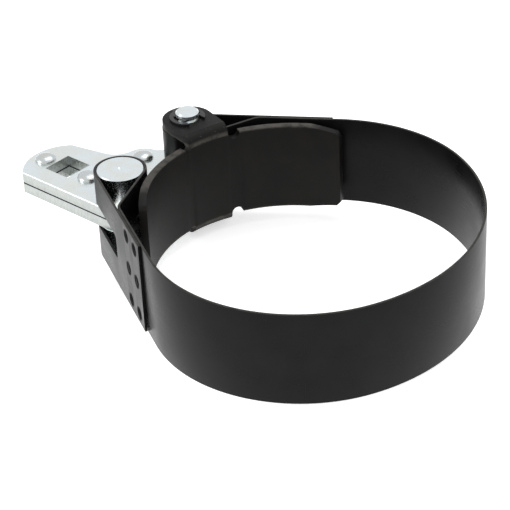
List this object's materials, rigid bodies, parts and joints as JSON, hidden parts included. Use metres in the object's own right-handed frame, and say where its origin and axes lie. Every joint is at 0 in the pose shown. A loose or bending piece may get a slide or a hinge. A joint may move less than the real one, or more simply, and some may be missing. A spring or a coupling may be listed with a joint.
{
  "type": "oil filter wrench",
  "caption": "Strap wrench for round oil filters: a steel strap loop, folded and riveted round pins at both ends, a curved jaw, and a plate lever with a square drive hole that tightens it.",
  "frame": {"origin": "on the axis of the jaw's curved inner face, halfway up the strap", "axes": "+Z along the filter's axis, towards the side shown uppermost; +X from the lever towards the strap's far side; +Y towards the pivot pin's side"},
  "size_m": [0.184, 0.1534, 0.0518],
  "materials": {
    "strap": "satin black",
    "strap_rivets": "satin black",
    "jaw": "matt black, worn on its edges",
    "clips": "black phosphate",
    "lever_plates": "bright zinc plate",
    "lever_rivets": "bright zinc plate",
    "pins": "turned, bright zinc plate"
  },
  "bodies": {
    "strap": {"strap": "strap", "anchor_end_rivet_1": "strap_rivets", "anchor_end_rivet_2": "strap_rivets", "anchor_end_rivet_3": "strap_rivets", "anchor_end_rivet_4": "strap_rivets", "anchor_end_rivet_5": "strap_rivets", "anchor_end_rivet_6": "strap_rivets", "pivot_end_rivet_1": "strap_rivets", "pivot_end_rivet_2": "strap_rivets", "pivot_end_rivet_3": "strap_rivets", "pivot_end_rivet_4": "strap_rivets", "pivot_end_rivet_5": "strap_rivets", "pivot_end_rivet_6": "strap_rivets", "pivot_roller_upper": "pins", "pivot_roller_lower": "pins"},
    "jaw": {"jaw": "jaw", "pivot_pin": "pins", "retaining_clip_upper": "clips", "retaining_clip_lower": "clips"},
    "lever": {"lever_plate_upper": "lever_plates", "lever_plate_lower": "lever_plates", "lever_rivet_1": "lever_rivets", "lever_rivet_2": "lever_rivets", "lever_rivet_3": "lever_rivets", "anchor_pin_upper": "pins", "anchor_pin_lower": "pins"}
  },
  "joints": [
    {"name": "jaw_swing", "type": "hinge", "parent": "strap", "child": "jaw", "pos_m": [-0.03895, 0.05604, 0], "axis": [0, 0, 1], "range_deg": [-1.5, 3]},
    {"name": "lever_swing", "type": "hinge", "parent": "strap", "child": "lever", "pos_m": [-0.03895, 0.05604, 0], "axis": [0, 0, 1], "range_deg": [-20, 0], "deforming": ["strap"]}
  ]
}
